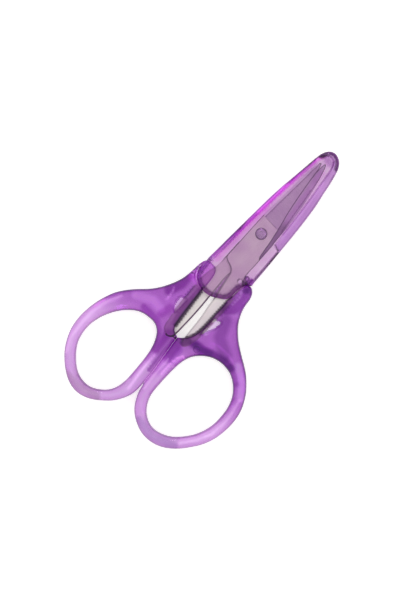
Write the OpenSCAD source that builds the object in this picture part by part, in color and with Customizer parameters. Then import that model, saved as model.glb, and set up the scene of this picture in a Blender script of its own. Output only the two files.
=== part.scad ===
// Compact craft scissors with overmoulded handles and a slide-on blade cap.
// The scissors lie flat and closed, with the cap on and the blade tips towards +Y.
// Every outline below is drawn about the pivot, then moved so that the origin is
// under the middle of the whole object.

/* [Overall] */
// Length over the loops and the capped tip
overall_l = 127; // [115:1:150]
// Thickness of the loops and of the cap
body_t = 7; // [6.6:0.2:8]

/* [Blades] */
// Thickness of each steel blade
blade_t = 1.0; // [0.8:0.1:1.1]
// Running gap between the two blades
blade_gap = 0.04; // [0.02:0.02:0.1]
// Depth of the ground bevel at its root, at the cutting edge
bevel_depth = 0.7; // [0.3:0.1:0.7]

/* [Rivet] */
// Diameter of the rivet's shank
shank_d = 2.5; // [2:0.1:3]
// Radial clearance round the shank
pin_clear = 0.05; // [0.02:0.01:0.08]
// Diameter of the domed heads
head_d = 4.4; // [4:0.1:5]
// Height of each domed head
head_h = 0.8; // [0.6:0.1:1]

/* [Handles] */
// Thickness of the finger loops at their far ends
loop_t = 5.4; // [5:0.2:6.4]
// Thickness of the handle arms where the cap's mouth passes over them
arm_t = 4.4; // [4:0.1:4.4]
// Gap between the two handles where they meet
handle_gap = 0.3; // [0.2:0.05:0.5]

/* [Cap] */
// Clear height of the cap's cavity
cavity_h = 4.8; // [4.7:0.1:4.9]
// Gap between the cap's lip and the handle shoulders
lip_gap = 0.35; // [0.3:0.05:0.6]

/* [Hidden] */

// Length of the drawn outlines; the plan scales from it.
drawn_l = 126.7;
k = overall_l / drawn_l;
zm = body_t / 2;
bore_d = shank_d + 2 * pin_clear;
$fn = 48;

// A smooth run through hand-set points, with n steps a span.
function pt(q, i) = q[max(0, min(len(q) - 1, i))];
function spot(a, b, c, d, t) =
    0.5 * (2 * b + (c - a) * t + (2 * a - 5 * b + 4 * c - d) * t * t
    + (3 * b - a - 3 * c + d) * t * t * t);
function run(q, n = 3) = [
    for (i = [0 : len(q) - 2]) for (j = [0 : n - 1])
        k * spot(pt(q, i - 1), pt(q, i), pt(q, i + 1), pt(q, i + 2), j / n)
];
// The same, closed on itself.
function ring(q, n = 3) = [
    for (i = [0 : len(q) - 1]) for (j = [0 : n - 1])
        k * spot(q[(i + len(q) - 1) % len(q)], q[i], q[(i + 1) % len(q)], q[(i + 2) % len(q)], j / n)
];
function shift(q, x) = [for (p = q) [p[0] + x, p[1]]];
function flip(q) = [for (i = [len(q) - 1 : -1 : 0]) q[i]];
function low(q, a) = min([for (p = q) p[a]]);
function high(q, a) = max([for (p = q) p[a]]);

// Left handle: outer side from the arm's end, down round the loop to the split.
left_side = [
    [-4.6, -19.9], [-6.4, -19.8], [-7.9, -20.1], [-8.8, -20.9], [-9.3, -22.4], [-9.6, -25],
    [-9.9, -28], [-10.6, -31.3], [-12.1, -34.9], [-14.3, -38.7], [-17, -42], [-20, -44.8],
    [-22.8, -47.8], [-25.1, -51], [-26.8, -54.8], [-28.1, -59], [-28.8, -63.5], [-28.9, -67],
    [-28.4, -71], [-27, -75], [-24.7, -79], [-21.5, -82.5], [-18, -85.2], [-14.8, -86.7],
    [-11.5, -87.2], [-8, -86.6], [-5, -85.2], [-2, -83], [0.6, -80.6], [2.6, -77.7],
    [3.9, -74.8], [4.4, -72], [4.4, -69]
];
left_throat = [
    [2.4, -48], [1.2, -47.5], [0.2, -47], [-0.5, -46], [-0.9, -44], [-1.3, -40], [-1.7, -35],
    [-2, -30], [-2.2, -26], [-2.4, -23.5], [-2.9, -21.5], [-3.6, -20.4], [-4.6, -19.9]
];
left_hole = [
    [-10, -49.7], [-12.5, -50], [-15, -51], [-17.6, -53], [-20, -55.7], [-22, -59],
    [-23.4, -62.5], [-24.1, -66], [-24, -70], [-23, -73.6], [-21, -76.8], [-18.5, -79.5],
    [-16, -81.4], [-13.5, -82.4], [-11, -82.7], [-8.5, -82.3], [-6, -81], [-3.6, -79],
    [-2, -76.4], [-1.2, -73.3], [-1, -70], [-1.1, -66], [-1.3, -62], [-1.8, -58],
    [-2.8, -54.6], [-4.2, -52], [-6, -50.4], [-8, -49.7]
];

// The line along which the two handles meet, from the loops up to the throat.
split = [[4.4, -69], [4.3, -66], [4, -62], [3.4, -57], [2.95, -53], [2.6, -50], [2.4, -48]];

// Right handle: tab inside the cap, shoulder, then down round the loop to the split.
right_tab = [[6.1, -17], [6.1, -15.3], [6.4, -14.7], [7.1, -14.5], [7.8, -14.8], [8.1, -15.6], [8.1, -16.6]];
right_side = [
    [8.1, -16.95], [10, -16.85], [11.3, -17.4], [12.3, -18.6], [12.9, -20.4], [13.1, -22.5],
    [13.5, -24.8], [14.4, -27.3], [15.8, -29.9], [17.6, -32.1], [20, -34.4], [22.5, -36.3],
    [25, -38], [27.6, -39.7], [30.2, -41.7], [32.8, -44.4], [35, -47.3], [36.8, -50.8],
    [37.8, -54], [38.2, -57.5], [38.1, -61], [37.5, -65], [36.4, -68.4], [34.9, -71.4],
    [33, -74.1], [30.8, -76.8], [28.3, -79.2], [25.5, -81.1], [22.5, -82.3], [19.3, -82.8],
    [16, -82.5], [13, -81.4], [10.2, -79.7], [8, -77.6], [6.4, -75], [5.2, -72], [4.7, -69]
];
right_throat = [
    [2.7, -48], [3.7, -47.2], [5, -45.8], [6.2, -43.8], [6.8, -41.2], [6.95, -38], [6.9, -34],
    [6.95, -30], [7.05, -27], [7.2, -24], [7.3, -21], [7.1, -19], [6.5, -17.9], [6.1, -17]
];
right_hole = [
    [21, -44.5], [18.5, -44.8], [16, -45.7], [13.5, -47.4], [11.5, -49.5], [10.2, -52],
    [9.5, -55], [9.2, -58.5], [9.1, -62], [9.1, -66], [9.3, -69.4], [10.1, -72.2],
    [11.5, -74.7], [13.5, -76.7], [16, -78], [18.5, -78.4], [21, -78], [24, -76.8],
    [26.6, -74.9], [29, -72.3], [31, -69.4], [32.5, -66], [33.3, -62.5], [33.4, -59],
    [33.1, -55.5], [32.1, -52], [30.3, -49], [28, -46.8], [25.5, -45.3], [23.2, -44.7]
];

// Cap: right edge from the tip to the end of its side wall, lip, then the left edge.
cap_right = [
    [0.6, 39.5], [2.4, 39], [4, 37.7], [5.2, 35.6], [5.9, 33], [6.6, 29.5], [7.2, 25.5],
    [8, 20.8], [8.5, 16], [8.9, 11], [9.2, 5.5], [9.45, 0], [9.7, -5], [9.9, -10],
    [10, -14], [10.1, -16.5]
];
cap_lip = [
    [10.1, -16.5], [9.2, -17], [8.4, -18], [7.8, -19.5], [7.4, -21.6], [7.3, -24], [7, -25.4],
    [6.2, -26.5], [4.9, -27.4], [3.4, -28.3], [1.8, -29.1], [0, -29.5], [-1.7, -29.6],
    [-3.4, -29.3], [-5, -28.7], [-6.6, -27.7], [-7.7, -26.4], [-8.2, -24.8], [-8.4, -22.5],
    [-8.5, -20]
];
cap_left = [
    [-8.5, -20], [-8.3, -17], [-8.1, -14], [-7.9, -10], [-7.6, -5], [-7.3, 0], [-6.85, 7],
    [-6.5, 12], [-6, 17], [-5.5, 20.5], [-4.8, 25.5], [-4.2, 30], [-3.75, 33.5],
    [-3.2, 36], [-2.2, 38], [-0.9, 39.1], [0.6, 39.5]
];
cavity_right = [
    [0.6, 37.8], [2, 37.2], [3, 35.6], [3.6, 33], [4.1, 28.5], [4.6, 24], [5.2, 19],
    [5.6, 14], [6, 8], [6.3, 3], [6.5, 0.6]
];
cavity_left = [
    [-6.95, -19.2], [-6.8, -15], [-6.6, -10], [-6.45, -4], [-6.25, 1], [-5.8, 8], [-5.35, 14],
    [-4.85, 20], [-4.2, 26], [-3.5, 31], [-2.9, 34.5], [-1.9, 36.7], [-0.6, 37.6], [0.6, 37.8]
];

// Front blade: spine, tip, cutting edge, then the tang that is moulded into the right handle.
front_spine = [
    [3, -30], [2.3, -26], [1.8, -23], [1.3, -20], [1, -18.2], [0.2, -16.8], [-1, -16],
    [-3, -15.1], [-3.8, -14.4], [-4, -13]
];
front_back_edge = [
    [-4, -13], [-4, -5], [-4, 2], [-3.9, 7], [-3.6, 13], [-3.1, 19], [-2.7, 25], [-2.1, 31],
    [-1.4, 33.3]
];
front_edge = [
    [-0.8, 33.6], [-0.2, 31.5], [0.3, 26.5], [1.2, 19], [2.2, 12.5], [3.2, 7.5], [4, 3],
    [4.5, 0], [5, -4], [5.4, -6.6], [6.1, -7.6]
];
front_tang = [
    [6.1, -7.6], [6.1, -15.2], [7, -16], [8.4, -18.4], [8.7, -22], [8.8, -30], [8.8, -38],
    [8.6, -43], [7.6, -47.4], [6.4, -49.2], [5.2, -49], [4.5, -47], [4.2, -42], [3.9, -37.5],
    [3.3, -33], [3, -30]
];

// Back blade: the same job on the other side, with a wider tang.
back_spine = [
    [-3.6, -48.5], [-1.4, -50.2], [0.6, -49.6], [1.4, -47.5], [1.6, -43], [1.7, -38],
    [1.6, -33], [1.4, -29], [1.3, -25], [1.1, -20.5], [1.6, -17.6], [3, -16.2], [4.8, -15.4],
    [5.8, -14.2], [6, -12.6]
];
back_back_edge = [
    [6, -12.6], [6, -6], [5.9, 1], [5.6, 7], [5.1, 13], [4.4, 18.5], [3.5, 24], [2.4, 29],
    [1.4, 32.8], [0.8, 34.2]
];
back_edge = [
    [0.3, 34.3], [-0.1, 32], [-0.2, 26], [-0.5, 19], [-1.1, 12.5], [-1.9, 7], [-2.5, 2],
    [-3, -3], [-3.5, -6.4], [-4.1, -7.6]
];
back_tang = [
    [-4.1, -7.6], [-4.1, -14], [-4.2, -19], [-5.2, -22.4], [-5.6, -27], [-5.5, -33],
    [-5.2, -39], [-4.8, -44.5], [-3.6, -48.5]
];

// Shallow moulding pockets beside the tangs, on both faces.
left_pocket = [
    [-3.9, -35.6], [-5.2, -35.7], [-6.4, -36.1], [-6.8, -37.2], [-6.7, -38.6], [-6.3, -40],
    [-5.6, -41.2], [-4.7, -42], [-4, -42.1], [-3.9, -40], [-3.9, -37.5]
];
right_pocket = [
    [7.9, -34], [9.3, -33.6], [10.7, -33.1], [11.1, -34], [10.9, -35.8], [10.2, -38],
    [9.3, -40], [8.4, -41.7], [7.9, -42], [7.8, -40], [7.8, -37]
];

left_out = concat(run(left_side), run(shift(split, -handle_gap / 2)), run(left_throat));
right_out = concat(run(right_tab), run(right_side), run(shift(split, handle_gap / 2)), run(right_throat));
cap_out = concat(run(cap_right), run(cap_lip), run(cap_left));

// The pivot's place, from the outer box of the whole plan.
px = -(low(left_out, 0) + high(right_out, 0)) / 2;
py = -(low(left_out, 1) + high(cap_out, 1)) / 2;

module at_pivot() { translate([px, py, 0]) children(); }
module slab(z0, z1) { translate([0, 0, z0]) linear_extrude(height = z1 - z0) children(); }

// A plan shape with one opening, as two loops.
module looped(outer, hole) {
    a = ring(hole, 3);
    polygon(points = concat(outer, a),
        paths = [[for (i = [0 : len(outer) - 1]) i], [for (i = [0 : len(a) - 1]) len(outer) + i]]);
}

// Rounded thickness in steps: the plan pulls in towards both faces.
steps = [[0, 0.4, 1.3], [0.4, 1, 0.65], [1, 1.9, 0.2]];
module rounded(outer, hole) {
    for (s = steps) {
        slab(s[0], s[1]) offset(delta = -s[2]) looped(outer, hole);
        slab(body_t - s[1], body_t - s[0]) offset(delta = -s[2]) looped(outer, hole);
    }
    slab(1.9, body_t - 1.9) looped(outer, hole);
}

// Side outline of a handle: full thickness at the web, thinner round the loop.
module side_profile() {
    e = (body_t - loop_t) / 2;
    translate([-60, 0, 0]) rotate([90, 0, 90]) linear_extrude(height = 120)
        polygon([[-95 * k, e], [-62 * k, e], [-45 * k, 0], [0, 0],
            [0, body_t], [-45 * k, body_t], [-62 * k, body_t - e], [-95 * k, body_t - e]]);
}

// The same pocket cut into the top and the underside.
module pockets(q, depth) {
    slab(-1, depth) polygon(ring(q, 2));
    slab(body_t - depth, body_t + 1) polygon(ring(q, 2));
}

// Room for the cap's lip above and below the thin arm.
module lip_room(top) {
    for (z = [-1, zm + arm_t / 2])
        slab(z, z + 1 + zm - arm_t / 2) {
            offset(delta = lip_gap) polygon(cap_out);
            translate([-14 * k, -22.6 * k]) square([8 * k, 12 * k]);
            translate([5 * k, top * k]) square([5.2 * k, 12 * k]);
        }
}

module front_plan() { polygon(concat(run(front_spine), run(front_back_edge, 2), run(front_edge, 2), run(front_tang, 2))); }
module back_plan() { polygon(concat(run(back_spine, 2), run(back_back_edge, 2), run(back_edge, 2), run(back_tang, 2))); }
module front_plate() { slab(zm + blade_gap / 2, zm + blade_gap / 2 + blade_t) front_plan(); }
module back_plate() { slab(zm - blade_gap / 2 - blade_t, zm - blade_gap / 2) back_plan(); }

// Ground face on the outer side of a blade, sloping down to its cutting edge.
module bevel(x, lean, turn) {
    slope = atan(bevel_depth / (6.8 * k));
    translate([x * k, 5.5 * k, 0]) rotate([0, 0, lean]) rotate([0, turn * slope, 0])
        translate([turn > 0 ? 0 : -20, 0, 0]) cube([20, 45, 4]);
}

module front_blade() {
    color([0.80, 0.79, 0.80]) at_pivot() difference() {
        front_plate();
        translate([0, 0, zm - 1]) cylinder(d = bore_d, h = 4);
        translate([6 * k, -18 * k, zm - 1]) cylinder(d = 1.5, h = 4);
        translate([0, 0, zm + blade_gap / 2 + blade_t]) bevel(-3.1, -3.7, 1);
    }
}

module back_blade() {
    color([0.74, 0.73, 0.75]) at_pivot() difference() {
        back_plate();
        translate([0, 0, zm - 3]) cylinder(d = bore_d, h = 4);
        translate([0, 0, zm - blade_gap / 2 - blade_t]) mirror([0, 0, 1]) bevel(5.1, 6, -1);
    }
}

module head(z) {
    // A shallow dome on a thin straight rim.
    translate([0, 0, z]) rotate_extrude() polygon(concat(
        [[0, 0], [head_d / 2, 0], [head_d / 2, 0.15]],
        [for (a = [15 : 15 : 90]) [head_d / 2 * cos(a), 0.15 + (head_h - 0.15) * sin(a)]]));
}

module pivot_rivet() {
    color([0.66, 0.65, 0.67]) at_pivot() {
        face = blade_t + blade_gap / 2 + 0.02;
        translate([0, 0, zm - face]) cylinder(d = shank_d, h = 2 * face);
        head(zm + face);
        translate([0, 0, 2 * (zm - face)]) mirror([0, 0, 1]) head(zm - face);
    }
}

module right_handle() {
    color([0.66, 0.42, 0.78, 0.85]) at_pivot() difference() {
        intersection() { rounded(right_out, right_hole); side_profile(); }
        lip_room(-17.2);
        pockets(right_pocket, 2.3);
        front_plate();
    }
}

module left_handle() {
    color([0.66, 0.42, 0.78, 0.85]) at_pivot() difference() {
        intersection() { rounded(left_out, left_hole); side_profile(); }
        lip_room(-17.2);
        pockets(left_pocket, 1.3);
        back_plate();
    }
}

// Cavity: narrow round the blades, wider behind the step, open at the mouth.
module cavity() {
    slab(zm - cavity_h / 2, zm + cavity_h / 2)
        polygon(concat(run(cavity_right),
            k * [[6.5, 0.6], [8.75, -0.4], [9, -6], [9.15, -11], [9.25, -16.5], [13, -16.5], [13, -34], [-12, -34], [-12, -19.2]],
            run(cavity_left)));
}

module blade_cap() {
    color([0.62, 0.36, 0.76, 0.7]) at_pivot() difference() {
        union() {
            slab(0, 0.5) offset(delta = -1.1) polygon(cap_out);
            slab(0.5, 1) offset(delta = -0.4) polygon(cap_out);
            slab(1, body_t - 1) polygon(cap_out);
            slab(body_t - 1, body_t - 0.5) offset(delta = -0.4) polygon(cap_out);
            slab(body_t - 0.5, body_t) offset(delta = -1.1) polygon(cap_out);
        }
        cavity();
    }
}

front_blade();
back_blade();
pivot_rivet();
right_handle();
left_handle();
blade_cap();
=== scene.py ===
import math

import bmesh
import bpy
import numpy as np
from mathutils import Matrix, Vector, geometry


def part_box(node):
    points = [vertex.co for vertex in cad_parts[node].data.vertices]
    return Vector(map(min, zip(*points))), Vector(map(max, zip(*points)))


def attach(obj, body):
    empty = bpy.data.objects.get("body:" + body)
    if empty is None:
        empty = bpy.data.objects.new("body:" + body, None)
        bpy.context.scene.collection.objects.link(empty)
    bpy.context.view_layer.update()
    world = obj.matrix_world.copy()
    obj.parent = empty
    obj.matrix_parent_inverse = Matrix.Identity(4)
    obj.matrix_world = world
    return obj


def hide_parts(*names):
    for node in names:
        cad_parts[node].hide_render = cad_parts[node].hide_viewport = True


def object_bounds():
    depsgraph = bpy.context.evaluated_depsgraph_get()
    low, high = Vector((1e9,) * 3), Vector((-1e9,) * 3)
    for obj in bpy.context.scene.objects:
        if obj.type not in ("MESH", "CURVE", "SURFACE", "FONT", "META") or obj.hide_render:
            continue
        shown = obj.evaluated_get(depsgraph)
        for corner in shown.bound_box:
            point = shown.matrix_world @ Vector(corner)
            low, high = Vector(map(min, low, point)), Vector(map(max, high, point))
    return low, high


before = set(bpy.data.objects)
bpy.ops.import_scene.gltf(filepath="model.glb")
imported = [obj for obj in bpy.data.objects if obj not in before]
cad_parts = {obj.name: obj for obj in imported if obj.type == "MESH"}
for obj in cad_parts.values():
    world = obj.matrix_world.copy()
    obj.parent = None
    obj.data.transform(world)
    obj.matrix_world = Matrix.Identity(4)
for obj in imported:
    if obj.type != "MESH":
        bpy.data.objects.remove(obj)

_lo, _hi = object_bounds()

# ----------------------------------------------------------------------------
# Frame: everything is drawn in millimetres about the pivot, then put in place.
# ----------------------------------------------------------------------------
_plo, _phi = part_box("pivot_rivet")
PX, PY = (_plo.x + _phi.x) * 500, (_plo.y + _phi.y) * 500
ZM = (_plo.z + _phi.z) * 500                      # mid-plane between the blades
K = (_hi.y - _lo.y) * 1000 / 126.7                # plan scale of the drawn outlines
BODY_T = (_hi.z - _lo.z) * 1000
HT = BODY_T / 2
FACE = 0.02                                       # half of the running gap
BT = 1.0                                          # blade thickness


def spot(a, b, c, d, t):
    return 0.5 * (2 * b + (c - a) * t + (2 * a - 5 * b + 4 * c - d) * t * t
                  + (3 * b - a - 3 * c + d) * t ** 3)


def run(q, n=8):
    q = np.array(q, float)
    out = []
    for i in range(len(q) - 1):
        a, b, c, d = q[max(i - 1, 0)], q[i], q[i + 1], q[min(i + 2, len(q) - 1)]
        out += [spot(a, b, c, d, j / n) for j in range(n)]
    return np.array(out) * K


def ring(q, n=8):
    q = np.array(q, float)
    m = len(q)
    return np.array([spot(q[i - 1], q[i], q[(i + 1) % m], q[(i + 2) % m], j / n)
                     for i in range(m) for j in range(n)]) * K


def shifted(q, x):
    return [[p[0] + x, p[1]] for p in q]


LEFT_SIDE = [
    [-4.6, -19.9], [-6.4, -19.8], [-7.9, -20.1], [-8.8, -20.9], [-9.3, -22.4], [-9.6, -25],
    [-9.9, -28], [-10.6, -31.3], [-12.1, -34.9], [-14.3, -38.7], [-17, -42], [-20, -44.8],
    [-22.8, -47.8], [-25.1, -51], [-26.8, -54.8], [-28.1, -59], [-28.8, -63.5], [-28.9, -67],
    [-28.4, -71], [-27, -75], [-24.7, -79], [-21.5, -82.5], [-18, -85.2], [-14.8, -86.7],
    [-11.5, -87.2], [-8, -86.6], [-5, -85.2], [-2, -83], [0.6, -80.6], [2.6, -77.7],
    [3.9, -74.8], [4.4, -72], [4.4, -69]]
LEFT_THROAT = [
    [2.4, -48], [1.2, -47.5], [0.2, -47], [-0.5, -46], [-0.9, -44], [-1.3, -40], [-1.7, -35],
    [-2, -30], [-2.2, -26], [-2.4, -23.5], [-2.9, -21.5], [-3.6, -20.4], [-4.6, -19.9]]
LEFT_HOLE = [
    [-10, -49.7], [-12.5, -50], [-15, -51], [-17.6, -53], [-20, -55.7], [-22, -59],
    [-23.4, -62.5], [-24.1, -66], [-24, -70], [-23, -73.6], [-21, -76.8], [-18.5, -79.5],
    [-16, -81.4], [-13.5, -82.4], [-11, -82.7], [-8.5, -82.3], [-6, -81], [-3.6, -79],
    [-2, -76.4], [-1.2, -73.3], [-1, -70], [-1.1, -66], [-1.3, -62], [-1.8, -58],
    [-2.8, -54.6], [-4.2, -52], [-6, -50.4], [-8, -49.7]]
SPLIT = [[4.4, -69], [4.3, -66], [4, -62], [3.4, -57], [2.95, -53], [2.6, -50], [2.4, -48]]
RIGHT_TAB = [[6.1, -17], [6.1, -15.3], [6.4, -14.7], [7.1, -14.5], [7.8, -14.8], [8.1, -15.6], [8.1, -16.6]]
RIGHT_SIDE = [
    [8.1, -16.95], [10, -16.85], [11.3, -17.4], [12.3, -18.6], [12.9, -20.4], [13.1, -22.5],
    [13.5, -24.8], [14.4, -27.3], [15.8, -29.9], [17.6, -32.1], [20, -34.4], [22.5, -36.3],
    [25, -38], [27.6, -39.7], [30.2, -41.7], [32.8, -44.4], [35, -47.3], [36.8, -50.8],
    [37.8, -54], [38.2, -57.5], [38.1, -61], [37.5, -65], [36.4, -68.4], [34.9, -71.4],
    [33, -74.1], [30.8, -76.8], [28.3, -79.2], [25.5, -81.1], [22.5, -82.3], [19.3, -82.8],
    [16, -82.5], [13, -81.4], [10.2, -79.7], [8, -77.6], [6.4, -75], [5.2, -72], [4.7, -69]]
RIGHT_THROAT = [
    [2.7, -48], [3.7, -47.2], [5, -45.8], [6.2, -43.8], [6.8, -41.2], [6.95, -38], [6.9, -34],
    [6.95, -30], [7.05, -27], [7.2, -24], [7.3, -21], [7.1, -19], [6.5, -17.9], [6.1, -17]]
RIGHT_HOLE = [
    [21, -44.5], [18.5, -44.8], [16, -45.7], [13.5, -47.4], [11.5, -49.5], [10.2, -52],
    [9.5, -55], [9.2, -58.5], [9.1, -62], [9.1, -66], [9.3, -69.4], [10.1, -72.2],
    [11.5, -74.7], [13.5, -76.7], [16, -78], [18.5, -78.4], [21, -78], [24, -76.8],
    [26.6, -74.9], [29, -72.3], [31, -69.4], [32.5, -66], [33.3, -62.5], [33.4, -59],
    [33.1, -55.5], [32.1, -52], [30.3, -49], [28, -46.8], [25.5, -45.3], [23.2, -44.7]]
CAP_RIGHT = [
    [0.6, 39.5], [2.4, 39], [4, 37.7], [5.2, 35.6], [5.9, 33], [6.6, 29.5], [7.2, 25.5],
    [8, 20.8], [8.5, 16], [8.9, 11], [9.2, 5.5], [9.45, 0], [9.7, -5], [9.9, -10],
    [10, -14], [10.1, -16.5]]
CAP_LIP = [
    [10.1, -16.5], [9.2, -17], [8.4, -18], [7.8, -19.5], [7.4, -21.6], [7.3, -24], [7, -25.4],
    [6.2, -26.5], [4.9, -27.4], [3.4, -28.3], [1.8, -29.1], [0, -29.5], [-1.7, -29.6],
    [-3.4, -29.3], [-5, -28.7], [-6.6, -27.7], [-7.7, -26.4], [-8.2, -24.8], [-8.4, -22.5],
    [-8.5, -20]]
CAP_LEFT = [
    [-8.5, -20], [-8.3, -17], [-8.1, -14], [-7.9, -10], [-7.6, -5], [-7.3, 0], [-6.85, 7],
    [-6.5, 12], [-6, 17], [-5.5, 20.5], [-4.8, 25.5], [-4.2, 30], [-3.75, 33.5],
    [-3.2, 36], [-2.2, 38], [-0.9, 39.1], [0.6, 39.5]]
CAVITY_RIGHT = [
    [0.6, 37.8], [2, 37.2], [3, 35.6], [3.6, 33], [4.1, 28.5], [4.6, 24], [5.2, 19],
    [5.6, 14], [6, 8], [6.3, 3], [6.5, 0.6]]
CAVITY_MOUTH = [[6.5, 0.6], [8.75, -0.4], [9, -6], [9.15, -11], [9.25, -16.5], [13, -16.5],
                [13, -34], [-12, -34], [-12, -19.2]]
CAVITY_LEFT = [
    [-6.95, -19.2], [-6.8, -15], [-6.6, -10], [-6.45, -4], [-6.25, 1], [-5.8, 8], [-5.35, 14],
    [-4.85, 20], [-4.2, 26], [-3.5, 31], [-2.9, 34.5], [-1.9, 36.7], [-0.6, 37.6], [0.6, 37.8]]
FRONT_SPINE = [
    [3, -30], [2.3, -26], [1.8, -23], [1.3, -20], [1, -18.2], [0.2, -16.8], [-1, -16],
    [-3, -15.1], [-3.8, -14.4], [-4, -13]]
FRONT_BACK_EDGE = [
    [-4, -13], [-4, -5], [-4, 2], [-3.9, 7], [-3.6, 13], [-3.1, 19], [-2.7, 25], [-2.1, 31],
    [-1.4, 33.3]]
FRONT_EDGE = [
    [-0.8, 33.6], [-0.2, 31.5], [0.3, 26.5], [1.2, 19], [2.2, 12.5], [3.2, 7.5], [4, 3],
    [4.5, 0], [5, -4], [5.4, -6.6], [6.1, -7.6]]
FRONT_TANG = [
    [6.1, -7.6], [6.1, -15.2], [7, -16], [8.4, -18.4], [8.7, -22], [8.8, -30], [8.8, -38],
    [8.6, -43], [7.6, -47.4], [6.4, -49.2], [5.2, -49], [4.5, -47], [4.2, -42], [3.9, -37.5],
    [3.3, -33], [3, -30]]
BACK_SPINE = [
    [-3.6, -48.5], [-1.4, -50.2], [0.6, -49.6], [1.4, -47.5], [1.6, -43], [1.7, -38],
    [1.6, -33], [1.4, -29], [1.3, -25], [1.1, -20.5], [1.6, -17.6], [3, -16.2], [4.8, -15.4],
    [5.8, -14.2], [6, -12.6]]
BACK_BACK_EDGE = [
    [6, -12.6], [6, -6], [5.9, 1], [5.6, 7], [5.1, 13], [4.4, 18.5], [3.5, 24], [2.4, 29],
    [1.4, 32.8], [0.8, 34.2]]
BACK_EDGE = [
    [0.3, 34.3], [-0.1, 32], [-0.2, 26], [-0.5, 19], [-1.1, 12.5], [-1.9, 7], [-2.5, 2],
    [-3, -3], [-3.5, -6.4], [-4.1, -7.6]]
BACK_TANG = [
    [-4.1, -7.6], [-4.1, -14], [-4.2, -19], [-5.2, -22.4], [-5.6, -27], [-5.5, -33],
    [-5.2, -39], [-4.8, -44.5], [-3.6, -48.5]]
LEFT_POCKET = [
    [-3.9, -35.6], [-5.2, -35.7], [-6.4, -36.1], [-6.8, -37.2], [-6.7, -38.6], [-6.3, -40],
    [-5.6, -41.2], [-4.7, -42], [-4, -42.1], [-3.9, -40], [-3.9, -37.5]]
RIGHT_POCKET = [
    [7.9, -34], [9.3, -33.6], [10.7, -33.1], [11.1, -34], [10.9, -35.8], [10.2, -38],
    [9.3, -40], [8.4, -41.7], [7.9, -42], [7.8, -40], [7.8, -37]]
GAP = 0.06                                        # the halves nearly touch along the split

# ----------------------------------------------------------------------------
# Plane geometry helpers
# ----------------------------------------------------------------------------


def area(p):
    x, y = p[:, 0], p[:, 1]
    return 0.5 * float(np.sum(x * np.roll(y, -1) - y * np.roll(x, -1)))


def resample(p, s, closed=True):
    """Evenly spaced points along a polyline."""
    q = np.vstack([p, p[:1]]) if closed else p
    seg = np.linalg.norm(np.diff(q, axis=0), axis=1)
    keep = np.concatenate([[True], seg > 1e-6])
    q = q[keep]
    seg = np.linalg.norm(np.diff(q, axis=0), axis=1)
    u = np.concatenate([[0], np.cumsum(seg)])
    n = max(8, int(round(u[-1] / s)))
    t = np.linspace(0, u[-1], n + 1)
    out = np.stack([np.interp(t, u, q[:, 0]), np.interp(t, u, q[:, 1])], 1)
    return out[:-1] if closed else out


def ccw(p):
    return p if area(p) > 0 else p[::-1].copy()


def dist(points, loop, closed=True):
    """Distance of each point from a polyline."""
    a = loop
    b = np.roll(loop, -1, axis=0) if closed else loop[1:]
    a = a if closed else loop[:-1]
    out = np.empty(len(points))
    ab = b - a
    l2 = np.maximum((ab ** 2).sum(1), 1e-12)
    for i in range(0, len(points), 2000):
        p = points[i:i + 2000, None, :]
        t = np.clip(((p - a) * ab).sum(2) / l2, 0, 1)
        d = p - (a + t[..., None] * ab)
        out[i:i + 2000] = np.sqrt((d ** 2).sum(2)).min(1)
    return out


def inside(points, loop):
    x, y = points[:, 0], points[:, 1]
    a, b = loop, np.roll(loop, -1, axis=0)
    hit = np.zeros(len(points), bool)
    for (ax, ay), (bx, by) in zip(a, b):
        if ay == by:
            continue
        c = (ay > y) != (by > y)
        hit ^= c & (x < (bx - ax) * (y - ay) / (by - ay) + ax)
    return hit


def signed(points, loop):
    """Positive outside the loop."""
    d = dist(points, loop)
    return np.where(inside(points, loop), -d, d)


def step(x, a, b):
    t = np.clip((x - a) / (b - a), 0, 1)
    return t * t * (3 - 2 * t)


def normals(loop, out):
    t = np.roll(loop, -1, axis=0) - np.roll(loop, 1, axis=0)
    n = np.stack([t[:, 1], -t[:, 0]], 1)
    n /= np.maximum(np.linalg.norm(n, axis=1, keepdims=True), 1e-9)
    return n if out else -n


def place(v):
    """Millimetres about the pivot to metres in the row frame."""
    v = np.asarray(v, float)
    return np.stack([(v[:, 0] + PX), (v[:, 1] + PY), v[:, 2]], 1) / 1000


def make_object(name, verts, faces, smooth=True):
    me = bpy.data.meshes.new(name)
    me.from_pydata([tuple(p) for p in verts], [], [tuple(int(i) for i in f) for f in faces])
    me.validate(clean_customdata=False)
    bm = bmesh.new()
    bm.from_mesh(me)
    bmesh.ops.recalc_face_normals(bm, faces=bm.faces)
    bm.to_mesh(me)
    bm.free()
    me.polygons.foreach_set("use_smooth", [smooth] * len(me.polygons))
    me.update()
    ob = bpy.data.objects.new(name, me)
    bpy.context.scene.collection.objects.link(ob)
    return ob


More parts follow.
